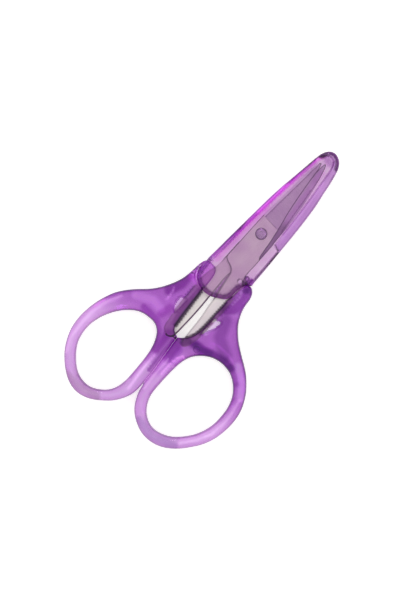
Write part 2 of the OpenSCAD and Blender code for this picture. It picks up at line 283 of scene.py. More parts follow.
def slab(name, outer, holes, top, bottom, rows, spacing=0.45, grid=0.8, lines=(), wall=2):
    """A solid over a plan shape: top and bottom are heights as functions of the points,
    their distance from the outer edge and their distance from the holes."""
    outer = ccw(resample(outer, spacing))
    holes = [ccw(resample(h, spacing)) for h in holes]
    loops = [outer] + holes
    cand = []
    for i, lp in enumerate(loops):
        n = normals(lp, out=(i > 0))
        for j, d in enumerate(rows):
            q = lp + n * d
            if j % 2:
                q = q + 0.5 * (np.roll(q, -1, axis=0) - q)
            keep = inside(q, outer)
            for h in holes:
                keep &= ~inside(q, h)
            q = q[keep]
            dd = np.min([dist(q, l2) for l2 in loops], axis=0)
            q = q[dd > d * 0.94]
            cand.append((d, q))
    lo, hi = outer.min(0), outer.max(0)
    gx, gy = np.meshgrid(np.arange(lo[0], hi[0], grid), np.arange(lo[1], hi[1], grid * 0.866))
    gx = gx + (np.arange(gx.shape[0]) % 2)[:, None] * grid / 2
    g = np.stack([gx.ravel(), gy.ravel()], 1)
    keep = inside(g, outer)
    for h in holes:
        keep &= ~inside(g, h)
    g = g[keep]
    g = g[np.min([dist(g, l2) for l2 in loops], axis=0) > rows[-1] + 0.35 * grid]
    cand.append((rows[-1] + 1, g))
    # Crisp feature lines are kept as edges.
    feats = []
    for ln, closed in lines:
        f = resample(ln, 0.35, closed)
        keep = inside(f, outer)
        for h in holes:
            keep &= ~inside(f, h)
        keep &= np.min([dist(f, l2) for l2 in loops], axis=0) > 0.02
        feats.append((f, keep, closed))
    pts, seen = [], set()
    if feats:
        fall = np.vstack([f[k] for f, k, _ in feats if k.any()])
    for d, q in cand:
        if feats and len(q):
            near = _nearest(q, fall)
            q = q[near > 0.16]
        if d > 0.5:
            cell = 0.22
            out = []
            for p in q:
                key = (round(p[0] / cell), round(p[1] / cell))
                if key in seen:
                    continue
                seen.add(key)
                out.append(p)
            q = np.array(out).reshape(-1, 2)
        pts.append(q)
    verts, edges = [], []
    for lp in loops:
        b = len(verts)
        verts += [tuple(p) for p in lp]
        edges += [(b + i, b + (i + 1) % len(lp)) for i in range(len(lp))]
    for f, keep, closed in feats:
        idx = [-1] * len(f)
        for i in range(len(f)):
            if keep[i]:
                idx[i] = len(verts)
                verts.append(tuple(f[i]))
        m = len(f) if closed else len(f) - 1
        for i in range(m):
            a, b = idx[i], idx[(i + 1) % len(f)]
            if a >= 0 and b >= 0:
                edges.append((a, b))
    for q in pts:
        verts += [tuple(p) for p in q]
    res = geometry.delaunay_2d_cdt([Vector(v) for v in verts], edges, [], 0, 1e-5, False)
    v2 = np.array([(v[0], v[1]) for v in res[0]])
    tri = np.array([f for f in res[2] if len(f) == 3])
    cen = v2[tri].mean(1)
    keep = inside(cen, outer)
    for h in holes:
        keep &= ~inside(cen, h)
    tri = tri[keep]
    used = np.unique(tri)
    remap = -np.ones(len(v2), int)
    remap[used] = np.arange(len(used))
    v2, tri = v2[used], remap[tri]
    a2 = v2[tri[:, 1]] - v2[tri[:, 0]]
    b2 = v2[tri[:, 2]] - v2[tri[:, 0]]
    bad = (a2[:, 0] * b2[:, 1] - a2[:, 1] * b2[:, 0]) < 0
    tri[bad] = tri[bad][:, ::-1]
    do = dist(v2, outer)
    dh = np.min([dist(v2, h) for h in holes], axis=0) if holes else np.full(len(v2), 99.0)
    zt, zb = top(v2, do, dh), bottom(v2, do, dh)
    n = len(v2)
    e = {}
    for t in tri:
        for a, b in ((t[0], t[1]), (t[1], t[2]), (t[2], t[0])):
            if (b, a) in e:
                del e[(b, a)]
            else:
                e[(a, b)] = True
    rim = sorted({i for ed in e for i in ed})
    ringid = {v: i for i, v in enumerate(rim)}
    v3 = [np.column_stack([v2, zt]), np.column_stack([v2, zb])]
    for w in range(1, wall):
        f = w / wall
        v3.append(np.column_stack([v2[rim], zt[rim] * (1 - f) + zb[rim] * f]))
    v3 = np.vstack(v3)
    faces = [tuple(t) for t in tri] + [(t[2] + n, t[1] + n, t[0] + n) for t in tri]

    def level(v, w):
        if w == 0:
            return v
        if w == wall:
            return v + n
        return 2 * n + (w - 1) * len(rim) + ringid[v]

    for a, b in e:
        for w in range(wall):
            faces.append((level(b, w), level(a, w), level(a, w + 1), level(b, w + 1)))
    return make_object(name, place(v3), faces)


def _nearest(q, f):
    out = np.empty(len(q))
    for i in range(0, len(q), 1500):
        out[i:i + 1500] = np.sqrt(((q[i:i + 1500, None] - f[None]) ** 2).sum(2)).min(1)
    return out


def dome(d, r):
    """Quarter-round: 0 at the edge, 1 at r and beyond."""
    t = np.clip(d / r, 0, 1)
    return np.sqrt(np.clip(1 - (1 - t) ** 2, 0, 1))


def arc_rows(r, n=8):
    return [r * (1 - math.cos(math.radians(90 * i / n))) for i in range(1, n + 1)]


# ----------------------------------------------------------------------------
# Materials
# ----------------------------------------------------------------------------


def new_material(name):
    m = bpy.data.materials.new(name)
    m.use_nodes = True
    nt = m.node_tree
    for nd in list(nt.nodes):
        nt.nodes.remove(nd)
    out = nt.nodes.new("ShaderNodeOutputMaterial")
    bs = nt.nodes.new("ShaderNodeBsdfPrincipled")
    nt.links.new(bs.outputs["BSDF"], out.inputs["Surface"])
    return m, nt, bs, out


def add(nt, kind, **kw):
    nd = nt.nodes.new(kind)
    for k, v in kw.items():
        if k in nd.inputs:
            nd.inputs[k].default_value = v
        else:
            setattr(nd, k, v)
    return nd


def tinted(name, absorb, density, rough, flow, seed, cloud):
    """Clear dyed plastic: glass with absorption in depth, faint flow lines and moulded micro-texture. The base colour
    is multiplied by an attribute of painted shade and painted highlights, and the emission is an attribute of painted
    glow that stands in for light piped along the edges and for reflected streaks."""
    m, nt, bs, out = new_material(name)
    bs.inputs["Transmission Weight"].default_value = 1.0
    bs.inputs["IOR"].default_value = 1.42
    vol = add(nt, "ShaderNodeVolumeAbsorption")
    vol.inputs["Color"].default_value = (*absorb, 1)
    vol.inputs["Density"].default_value = density
    nt.links.new(vol.outputs["Volume"], out.inputs["Volume"])
    tc = add(nt, "ShaderNodeTexCoord")
    mp = add(nt, "ShaderNodeMapping")
    mp.inputs["Location"].default_value = (seed, seed * 0.7, 0)
    nt.links.new(tc.outputs["Object"], mp.inputs["Vector"])
    big = add(nt, "ShaderNodeTexNoise")
    big.inputs["Scale"].default_value = flow
    big.inputs["Detail"].default_value = 2.0
    big.inputs["Distortion"].default_value = 0.6
    nt.links.new(mp.outputs["Vector"], big.inputs["Vector"])
    fine = add(nt, "ShaderNodeTexNoise")
    fine.inputs["Scale"].default_value = 2600.0
    fine.inputs["Detail"].default_value = 3.0
    nt.links.new(mp.outputs["Vector"], fine.inputs["Vector"])
    at = add(nt, "ShaderNodeAttribute")
    at.attribute_name = "Tint"
    cl = add(nt, "ShaderNodeValToRGB")
    cl.color_ramp.elements[0].position = 0.3
    cl.color_ramp.elements[0].color = (*cloud, 1)
    cl.color_ramp.elements[1].position = 0.7
    cl.color_ramp.elements[1].color = (1.0, 1.0, 1.0, 1)
    nt.links.new(big.outputs["Fac"], cl.inputs["Fac"])
    mx = add(nt, "ShaderNodeMix", data_type="RGBA", blend_type="MULTIPLY")
    mx.inputs[0].default_value = 1.0
    nt.links.new(at.outputs["Color"], mx.inputs[6])
    nt.links.new(cl.outputs["Color"], mx.inputs[7])
    nt.links.new(mx.outputs[2], bs.inputs["Base Color"])
    gl = add(nt, "ShaderNodeAttribute")
    gl.attribute_name = "PaintedGlow"
    nt.links.new(gl.outputs["Color"], bs.inputs["Emission Color"])
    bs.inputs["Emission Strength"].default_value = 1.0
    rr = add(nt, "ShaderNodeMapRange")
    rr.inputs["From Min"].default_value = 0.3
    rr.inputs["From Max"].default_value = 0.7
    rr.inputs["To Min"].default_value = rough * 0.55
    rr.inputs["To Max"].default_value = rough * 1.6
    nt.links.new(big.outputs["Fac"], rr.inputs["Value"])
    nt.links.new(rr.outputs["Result"], bs.inputs["Roughness"])
    b1 = add(nt, "ShaderNodeBump")
    b1.inputs["Strength"].default_value = 0.12
    b1.inputs["Distance"].default_value = 0.0003
    nt.links.new(big.outputs["Fac"], b1.inputs["Height"])
    b2 = add(nt, "ShaderNodeBump")
    b2.inputs["Strength"].default_value = 0.03
    b2.inputs["Distance"].default_value = 0.0001
    nt.links.new(fine.outputs["Fac"], b2.inputs["Height"])
    nt.links.new(b1.outputs["Normal"], b2.inputs["Normal"])
    nt.links.new(b2.outputs["Normal"], bs.inputs["Normal"])
    return m


def plan(ob):
    co = np.empty(len(ob.data.vertices) * 3)
    ob.data.vertices.foreach_get("co", co)
    co = co.reshape(-1, 3) * 1000
    return np.stack([co[:, 0] - PX, co[:, 1] - PY], 1), co[:, 2]


def attribute(ob, name, rgb):
    at = ob.data.color_attributes.new(name, "FLOAT_COLOR", "POINT")
    v = np.ones((len(rgb), 4))
    v[:, :3] = np.clip(rgb, 0, 1)
    at.data.foreach_set("color", v.ravel())


def strokes(p, start, marks):
    """Multiplies a start colour by soft strokes: (path, half width, softness, colour)."""
    rgb = np.array(start, float)
    if rgb.ndim == 1:
        rgb = np.tile(rgb, (len(p), 1))
    for path, w, soft, col in marks:
        m = 1 - step(dist(p / K, np.array(path, float), closed=False), w, w + soft)
        rgb = rgb * (1 + (np.array(col) - 1) * m[:, None])
    return rgb


def painted_glow(p, marks):
    rgb = np.zeros((len(p), 3))
    for path, w, soft, col in marks:
        m = 1 - step(dist(p / K, np.array(path, float), closed=False), w, w + soft)
        rgb = np.maximum(rgb, np.array(col) * m[:, None])
    return rgb


def steel(name, low, high, rough, along, grain=1.0, bump=0.08, spots=0.25):
    """Rolled or ground steel: streaks along one way, cloudy patches and tiny pits."""
    m, nt, bs, out = new_material(name)
    bs.inputs["Metallic"].default_value = 1.0
    bs.inputs["IOR"].default_value = 2.4
    tc = add(nt, "ShaderNodeTexCoord")
    mp = add(nt, "ShaderNodeMapping")
    mp.inputs["Scale"].default_value = along
    nt.links.new(tc.outputs["Object"], mp.inputs["Vector"])
    st = add(nt, "ShaderNodeTexNoise")
    st.inputs["Scale"].default_value = 1.0
    st.inputs["Detail"].default_value = 5.0
    st.inputs["Roughness"].default_value = 0.65
    nt.links.new(mp.outputs["Vector"], st.inputs["Vector"])
    cl = add(nt, "ShaderNodeTexNoise")
    cl.inputs["Scale"].default_value = 160.0
    cl.inputs["Detail"].default_value = 3.0
    nt.links.new(tc.outputs["Object"], cl.inputs["Vector"])
    mix = add(nt, "ShaderNodeMix", data_type="FLOAT")
    mix.inputs[0].default_value = spots
    nt.links.new(st.outputs["Fac"], mix.inputs[2])
    nt.links.new(cl.outputs["Fac"], mix.inputs[3])
    cr = add(nt, "ShaderNodeValToRGB")
    cr.color_ramp.elements[0].position = 0.25
    cr.color_ramp.elements[0].color = (*low, 1)
    cr.color_ramp.elements[1].position = 0.75
    cr.color_ramp.elements[1].color = (*high, 1)
    nt.links.new(mix.outputs[0], cr.inputs["Fac"])
    at = add(nt, "ShaderNodeAttribute")
    at.attribute_name = "Tint"
    mx = add(nt, "ShaderNodeMix", data_type="RGBA", blend_type="MULTIPLY")
    mx.inputs[0].default_value = 1.0
    nt.links.new(cr.outputs["Color"], mx.inputs[6])
    nt.links.new(at.outputs["Color"], mx.inputs[7])
    nt.links.new(mx.outputs[2], bs.inputs["Base Color"])
    rr = add(nt, "ShaderNodeMapRange")
    rr.inputs["From Min"].default_value = 0.3
    rr.inputs["From Max"].default_value = 0.7
    rr.inputs["To Min"].default_value = rough * 0.8
    rr.inputs["To Max"].default_value = rough * 1.25
    nt.links.new(mix.outputs[0], rr.inputs["Value"])
    nt.links.new(rr.outputs["Result"], bs.inputs["Roughness"])
    bp = add(nt, "ShaderNodeBump")
    bp.inputs["Strength"].default_value = bump
    bp.inputs["Distance"].default_value = 0.00005
    nt.links.new(st.outputs["Fac"], bp.inputs["Height"])
    nt.links.new(bp.outputs["Normal"], bs.inputs["Normal"])
    return m


HANDLE = tinted("dyed_handle_plastic", (0.59, 0.055, 0.80), 140.0, 0.05, 130.0, 0.013, (0.92, 0.86, 0.94))
CAP = tinted("dyed_cap_plastic", (0.60, 0.13, 0.77), 148.0, 0.03, 150.0, 0.041, (0.93, 0.86, 0.95))
STEEL = steel("rolled_steel", (0.82, 0.75, 0.75), (1.0, 0.95, 0.95), 0.50, (2600, 420, 2600), bump=0.2, spots=0.5)
POLISHED = steel("polished_spine_steel", (0.98, 0.93, 0.98), (1.0, 0.98, 1.0), 0.60, (3000, 220, 3000))
GROUND = steel("ground_bevel_steel", (0.57, 0.48, 0.59), (0.82, 0.69, 0.83), 0.42, (260, 4200, 4200), bump=0.14)
# Inner faces: a darker, purple steel that paints the shade cast by the other blade and the cap.
SHADED_INNER_STEEL = steel("inner_face_steel_painted_shade", (0.60, 0.50, 0.64), (0.82, 0.71, 0.86), 0.42, (3400, 260, 3400), bump=0.12)
RIVET = steel("rivet_steel", (0.28, 0.22, 0.33), (0.72, 0.58, 0.76), 0.20, (900, 900, 900), bump=0.14, spots=0.6)

# ----------------------------------------------------------------------------
# Handles
# ----------------------------------------------------------------------------
CAP_OUT = ccw(resample(np.vstack([run(CAP_RIGHT), run(CAP_LIP), run(CAP_LEFT)]), 0.4))
ARM = 2.2
ARM_CLEAR = 0.35


def loop_height(p):
    """Half thickness along the handle: full at the web, thinner round the loop."""
    return 2.70 + (HT - 2.70) * step(p[:, 1] / K, -62, -45)


def crease_at(p, centre, table):
    """How far the hand-side facet reaches from the finger hole, by direction from its centre."""
    ang = np.degrees(np.arctan2(p[:, 1] / K - centre[1], p[:, 0] / K - centre[0])) % 360
    t = np.array(table, float)
    t = np.vstack([[t[-1, 0] - 360, t[-1, 1]], t, [t[0, 0] + 360, t[0, 1]]])
    return np.interp(ang, t[:, 0], t[:, 1])


LEFT_CREASE = ((-12.5, -66), [[0, 1.9], [35, 1.9], [62, 2.3], [78, 3.5], [95, 4.6], [115, 4.6], [140, 3.7], [170, 2.7],
                              [200, 2.1], [250, 1.9], [300, 1.9]])
RIGHT_CREASE = ((21, -61), [[0, 1.9], [30, 1.9], [55, 2.3], [80, 3.4], [100, 3.9], [120, 4.4], [140, 3.6], [165, 3.1],
                            [190, 3.0], [215, 2.4], [240, 1.9], [300, 1.9]])


def handle_height(side, pocket, pocket_h, crease):
    pk = ccw(ring(pocket))

    def f(p, do, dh):
        h = loop_height(p)
        # Under the cap's lip the arm is thin; the shoulder follows the lip.
        s = signed(p, CAP_OUT)
        free = step(s, ARM_CLEAR, ARM_CLEAR + 0.45)
        x, y = p[:, 0] / K, p[:, 1] / K
        free = free * (1 - step(y, -23.2, -22.2)) if side < 0 else free * np.where((x < 10.2) & (y > -17.6), 0, 1)
        h = ARM + (h - ARM) * free
        reach = crease_at(p, *crease)
        facet = np.clip(reach - dh, 0, None) / np.maximum(reach, 0.1)
        drop = 1.75 * (1 - dome(do, 1.8) * dome(dh, 1.7)) + 0.62 * facet * step(reach, 1.9, 3.0)
        z = np.maximum(h - drop, 0.35)
        # Ledge along the throat.
        if side < 0:
            ledge = step(x, -4.75, -4.4) * step(y, -46.2, -45.2) * (1 - step(y, -31.2, -30.4))
            z = z - 0.55 * ledge * step(do, 0.0, 0.5)
        # Moulding pocket beside the tang.
        sp = signed(p, pk)
        inn = 1 - step(sp, -0.14, 0.1)
        z = z + (np.minimum(z, pocket_h) - z) * inn
        return z, x, y

    return f


def crease_line(hole, crease):
    lp = ccw(resample(ring(hole), 0.4))
    return lp + normals(lp, True) * crease_at(lp, *crease)[:, None]


def left_top(p, do, dh):
    z, x, y = LH(p, do, dh)
    r = np.hypot(x + 1.1, y + 47.6)
    z = z - 0.22 * (1 - step(r, 0.45, 0.8)) * step(do, 0.2, 0.7)
    return ZM + z


def left_bottom(p, do, dh):
    return ZM - LH(p, do, dh)[0]


def right_top(p, do, dh):
    z, x, y = RH(p, do, dh)
    # Plain ejector ring beside the hub.
    r = np.hypot(x - 10.5, y + 46.7)
    groove = (1 - step(np.abs(r - 1.15), 0.12, 0.3))
    pin = 1 - step(r, 0.35, 0.6)
    z = z - (0.26 * groove + 0.2 * pin) * step(dh, 0.3, 0.8)
    return ZM + z


def right_bottom(p, do, dh):
    return ZM - RH(p, do, dh)[0]


LH = handle_height(-1, LEFT_POCKET, 2.2, LEFT_CREASE)
RH = handle_height(1, RIGHT_POCKET, 1.15, RIGHT_CREASE)


def offset_loop(loop, d):
    return loop + normals(loop, True) * d


def circle(cx, cy, r, n=28):
    a = np.linspace(0, 2 * math.pi, n, endpoint=False)
    return np.stack([cx * K + r * np.cos(a), cy * K + r * np.sin(a)], 1)


# Painted shade and painted highlights multiplied into the dye colour: darker (edges, thick hub, throat, split) or paler
# (thin places, pockets, painted highlight streaks).
DEEP_SHADE, DARK_SHADE, PAINTED_HIGHLIGHT = (0.66, 0.34, 0.73), (0.10, 0.04, 0.14), (1.25, 1.6, 1.2)
LEFT_SHADE_AND_HIGHLIGHT_MARKS = [
    ([[-9.6, -25], [-9.9, -28], [-12.1, -34.9], [-17, -42], [-22.8, -47.8], [-26.8, -54.8]], 0.4, 1.2, (0.60, 0.30, 0.70)),
    ([[-21, -84.4], [-12, -85.3], [-5, -83.4]], 0.5, 1.5, (0.785, 0.76, 0.75)),
    ([[-3.2, -30], [-3.0, -36], [-2.6, -41], [-2.1, -45.5]], 0.45, 0.5, (0.76, 0.50, 0.80)),
    ([[-5.3, -30.5], [-5.4, -35.5]], 0.05, 0.4, (0.4, 0.2, 0.5)),
    ([[-2.4, -28.5], [-2.15, -32], [-2.0, -35], [-1.55, -41], [-1.1, -45.3]], 0.5, 0.3, DARK_SHADE),
    ([[-0.7, -46], [0, -47.3], [2.2, -48.6]], 0.2, 0.5, (0.5, 0.3, 0.55)),
    # shaded lens under the crease, above the finger hole
    ([[-14, -47.9], [-11, -47.9], [-7, -48.2], [-4.2, -50.6]], 0.5, 1.2, (0.70, 0.36, 0.78)),
    ([[-3.2, -51.5], [-1.8, -56], [-0.9, -62], [-0.7, -70]], 0.2, 0.9, (0.62, 0.32, 0.70)),
    ([[-1.0, -73], [-2.6, -78], [-6, -81.4], [-11, -83], [-15, -82.2]], 0.1, 0.8, (0.62, 0.38, 0.70)),
    ([[1.9, -50], [2.1, -56], [2.7, -64]], 0.25, 0.5, (0.55, 0.28, 0.64)),
    ([[-1.0, -49], [-0.5, -54], [-0.2, -56.5]], 0.4, 2.2, (0.66, 0.30, 0.73)),
    ([[-0.8, -50], [0.3, -60]], 0.3, 3.4, (0.84, 0.62, 0.9)),
    ([[-9.2, -29], [-9.2, -33], [-11, -37.5]], 0.8, 1.8, (0.58, 0.22, 0.66)),
    ([[-6.5, -42], [-7.5, -45.5]], 0.8, 1.4, (0.8, 0.5, 0.84)),
    ([[-19, -46.6], [-13, -43.9], [-9, -44.5]], 0.6, 1.8, PAINTED_HIGHLIGHT),
    ([[-5.6, -37.0], [-5.3, -40.2]], 0.9, 0.35, (1.4, 2.25, 1.38)),
    ([[2.38, -48.4], [2.6, -50.5], [2.9, -54]], 0.12, 0.5, (0.62, 0.20, 0.70)),
]
RIGHT_SHADE_AND_HIGHLIGHT_MARKS = [
    ([[12.9, -20.4], [13.5, -24.8], [15.8, -29.9], [20, -34.4], [25, -38], [30.2, -41.7]], 0.5, 1.3, (0.74, 0.44, 0.80)),
    ([[12, -79.6], [20, -81.0], [28, -78.0]], 0.5, 1.5, (0.75, 0.70, 0.81)),
    ([[5.8, -62], [6.0, -68], [8, -74], [11, -78]], 0.6, 1.4, (1.0, 0.92, 1.0)),
    ([[6.2, -51], [6.4, -56]], 0.6, 1.0, (0.84, 0.60, 0.92)),
    ([[7.3, -27], [7.2, -31], [7.2, -36], [7.0, -41.2], [6.3, -43.8], [4.9, -46]], 0.3, 0.25, DARK_SHADE),
    ([[8.4, -22], [8.4, -31.5]], 0.6, 0.5, (0.60, 0.36, 0.66)),
    ([[6.4, -46.6], [5.4, -48]], 1.1, 0.5, (0.40, 0.24, 0.46)),
    # painted shade: a dark lens between the throat and the finger hole
    ([[8.5, -46], [12.5, -45.6], [16.5, -44], [21, -43], [24.5, -43.3]], 0.5, 2.0, (0.40, 0.05, 0.52)),
    ([[24, -43.2], [27.5, -44.8], [29.6, -46.6]], 0.3, 1.7, (0.62, 0.34, 0.70)),
    ([[29.6, -46.6], [31.4, -49.6]], 0.1, 1.3, (0.78, 0.60, 0.82)),
    ([[9.5, -45.5], [12.5, -45], [15, -44.4]], 0.6, 1.6, (0.66, 0.2, 0.76)),
    ([[12.5, -48.5], [9.8, -52], [8.9, -56]], 0.4, 0.7, DEEP_SHADE),
    ([[8.6, -58], [8.5, -66], [8.9, -70]], 0.1, 0.8, (0.66, 0.40, 0.74)),
    ([[4.2, -49.5], [4.3, -53], [4.6, -56]], 0.7, 2.0, (0.66, 0.32, 0.73)),
    ([[4.3, -51], [5.2, -61]], 0.4, 3.4, (0.86, 0.66, 0.92)),
    ([[9, -29], [11, -27], [11.5, -22], [10.2, -18.5]], 1.0, 1.4, (0.57, 0.25, 0.65)),
    ([[11.5, -32], [14, -38], [20, -41.5]], 1.0, 2.4, (0.66, 0.50, 0.72)),
    ([[32.4, -50.5], [33.7, -55], [33.9, -60], [33.2, -65], [31, -70], [27, -75]], 0.1, 0.7, (0.66, 0.40, 0.74)),
    ([[8.6, -16], [9.6, -18.8]], 0.9, 0.8, (0.5, 0.22, 0.6)),
    ([[26, -41.4], [31, -44.6], [34.4, -48.6]], 0.7, 1.6, (1.35, 2.0, 1.3)),
    ([[8.6, -34.6], [10.1, -34.4], [9.6, -37.4], [8.7, -40.2]], 0.75, 0.3, (1.6, 3.6, 1.5)),
    ([[2.48, -48.4], [2.7, -50.5], [3.0, -54]], 0.12, 0.5, (0.62, 0.20, 0.70)),
]
# Painted highlights as emission: streaks of reflected light on the loops, the web and beside the split, light piped
# along the rims, brighter pockets, and on the left a lift of the arm under the cap's lip.
LEFT_PAINTED_GLOW = [
    ([[-22.5, -50.5], [-25.3, -56], [-26.7, -62], [-26.9, -67], [-26.1, -74], [-23.6, -79]], 0.02, 0.75, (0.12, 0.10, 0.11)),
    ([[-26.2, -55.5], [-27.3, -60]], 0.05, 0.6, (0.14, 0.0, 0.14)),
    ([[-10.3, -35.6], [-9.7, -38], [-9.6, -40.4]], 0.02, 0.5, (0.15, 0.10, 0.15)),
    ([[0.6, -58], [0.9, -66], [1.7, -74]], 0.02, 0.6, (0.16, 0.12, 0.15)),
    ([[-7.6, -21.6], [-3.2, -24], [-4.0, -27.6], [-8, -27.4]], 1.6, 1.0, (0.058, 0.004, 0.066)),
    ([[-5.6, -37.0], [-5.3, -40.2]], 0.7, 0.4, (0.028, 0.008, 0.028)),
]
RIGHT_PAINTED_GLOW = [
    ([[34.4, -50], [35.6, -56], [35.9, -60], [35.1, -66], [32.6, -71], [28.6, -76]], 0.02, 0.75, (0.12, 0.10, 0.11)),
    ([[6.9, -62], [6.9, -57], [7.5, -53.2], [8.6, -51.7], [9.5, -52.2]], 0.02, 0.45, (0.27, 0.13, 0.26)),
    ([[5.3, -56], [5.4, -64], [6.0, -70]], 0.02, 0.55, (0.16, 0.12, 0.16)),
    ([[12.6, -41.6], [16, -40.4], [20, -40.3], [24, -41.6]], 0.02, 0.4, (0.07, 0.02, 0.08)),
    ([[11.9, -20], [12.1, -23]], 0.05, 0.5, (0.07, 0.02, 0.08)),
    ([[8.5, -35.4], [9.5, -35.0], [8.7, -39.8]], 0.5, 0.4, (0.045, 0.03, 0.045)),
    ([[29, -43.2], [33, -47]], 0.3, 1.4, (0.02, 0.0, 0.03)),
]
left_out = np.vstack([run(LEFT_SIDE), run(shifted(SPLIT, -GAP / 2)), run(LEFT_THROAT)])
right_out = np.vstack([run(RIGHT_TAB), run(RIGHT_SIDE), run(shifted(SPLIT, GAP / 2)), run(RIGHT_THROAT)])
lip_lines = [(offset_loop(CAP_OUT, ARM_CLEAR + o), True) for o in (0.02, 0.24, 0.46)]
rows = arc_rows(1.8, 7)
left_handle = slab(
    "left_handle_moulding", left_out, [ring(LEFT_HOLE)], left_top, left_bottom, rows, spacing=0.42, grid=0.7,
    lines=lip_lines + [(offset_loop(ccw(ring(LEFT_POCKET)), o), True) for o in (-0.14, 0.1)]
    + [(crease_line(LEFT_HOLE, LEFT_CREASE), True)])
right_handle = slab(
    "right_handle_moulding", right_out, [ring(RIGHT_HOLE)], right_top, right_bottom, rows, spacing=0.42, grid=0.7,
    lines=lip_lines + [(offset_loop(ccw(ring(RIGHT_POCKET)), o), True) for o in (-0.14, 0.1)]
    + [(circle(10.5, -46.7, r), True) for r in (0.45, 0.9, 1.15, 1.42)] + [(crease_line(RIGHT_HOLE, RIGHT_CREASE), True)])
for ob, body, node in ((left_handle, "left_half", "left_handle"), (right_handle, "right_half", "right_handle")):
    ob.data.materials.append(HANDLE)
    q, _ = plan(ob)
    outline, hole = (left_out, LEFT_HOLE) if node == "left_handle" else (right_out, RIGHT_HOLE)
    side = np.minimum(dist(q, ccw(resample(outline, 0.4))), dist(q, ccw(resample(ring(hole), 0.4))))
    # Painted shade and light in the base colour: darker towards every edge (an outline), the web darker than the loops,
    # the arm under the cap's lip painted lighter, and a dark line down the split between the halves.
    mid = step(side, 0.15, 2.3)[:, None]
    loop = (1 - step(q[:, 1] / K, -66, -46))[:, None]
    arm = step(q[:, 1] / K, -31, -25)[:, None]
    web = np.array([0.58, 0.18, 0.64]) * (1 - mid) + np.array([0.77, 0.43, 0.80]) * mid
    ringc = np.array([0.74, 0.48, 0.74]) * (1 - mid) + np.array([1.0, 0.98, 0.98]) * mid
    start = web * (1 - loop) + ringc * loop
    start = start * (1 - arm) + np.array([0.92, 0.70, 0.94]) * arm
    rim_shade = np.array([0.11, 0.06, 0.15]) * (1 - loop) + np.array([0.24, 0.20, 0.28]) * loop
    rim_shade = rim_shade * (1 - arm) + np.array([0.42, 0.22, 0.48]) * arm
    split_shade = dist(q / K, np.array([[2.3, -48.4], [2.7, -52], [2.95, -55], [3.4, -58], [4.0, -62], [4.6, -67]]), closed=False)
    split_shade = (1 - step(split_shade, 0.7, 1.5))[:, None]
    rim_shade = rim_shade * (1 - split_shade) + np.array([0.62, 0.22, 0.70]) * split_shade
    start = start * (1 + (rim_shade - 1) * (1 - step(side, 0.34 - 0.14 * loop[:, 0], 0.86 - 0.26 * loop[:, 0])[:, None]))
    pocket = ring(LEFT_POCKET if node == "left_handle" else RIGHT_POCKET) / K
    # Painted shade round the rim of the moulding pocket.
    pocket_rim_shade = [(np.vstack([pocket, pocket[:1]]), 0.04, 0.3, (0.52, 0.26, 0.60))]
    tint = strokes(q, start, (LEFT_SHADE_AND_HIGHLIGHT_MARKS if node == "left_handle" else RIGHT_SHADE_AND_HIGHLIGHT_MARKS) + pocket_rim_shade)
    if node == "right_handle":
        # Painted shade in the groove of the ejector ring.
        r = np.hypot(q[:, 0] / K - 10.5, q[:, 1] / K + 46.7)
        tint = tint * (1 + (np.array([0.5, 0.25, 0.58]) - 1) * (1 - step(np.abs(r - 1.15), 0.1, 0.35))[:, None])
    attribute(ob, "Tint", tint)
    attribute(ob, "PaintedGlow", painted_glow(q, LEFT_PAINTED_GLOW if node == "left_handle" else RIGHT_PAINTED_GLOW))
    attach(ob, body)
    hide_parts(node)

# ----------------------------------------------------------------------------
# Blades
# ----------------------------------------------------------------------------
BEVEL_Y = 5.5
BEVEL_DEPTH = 0.7


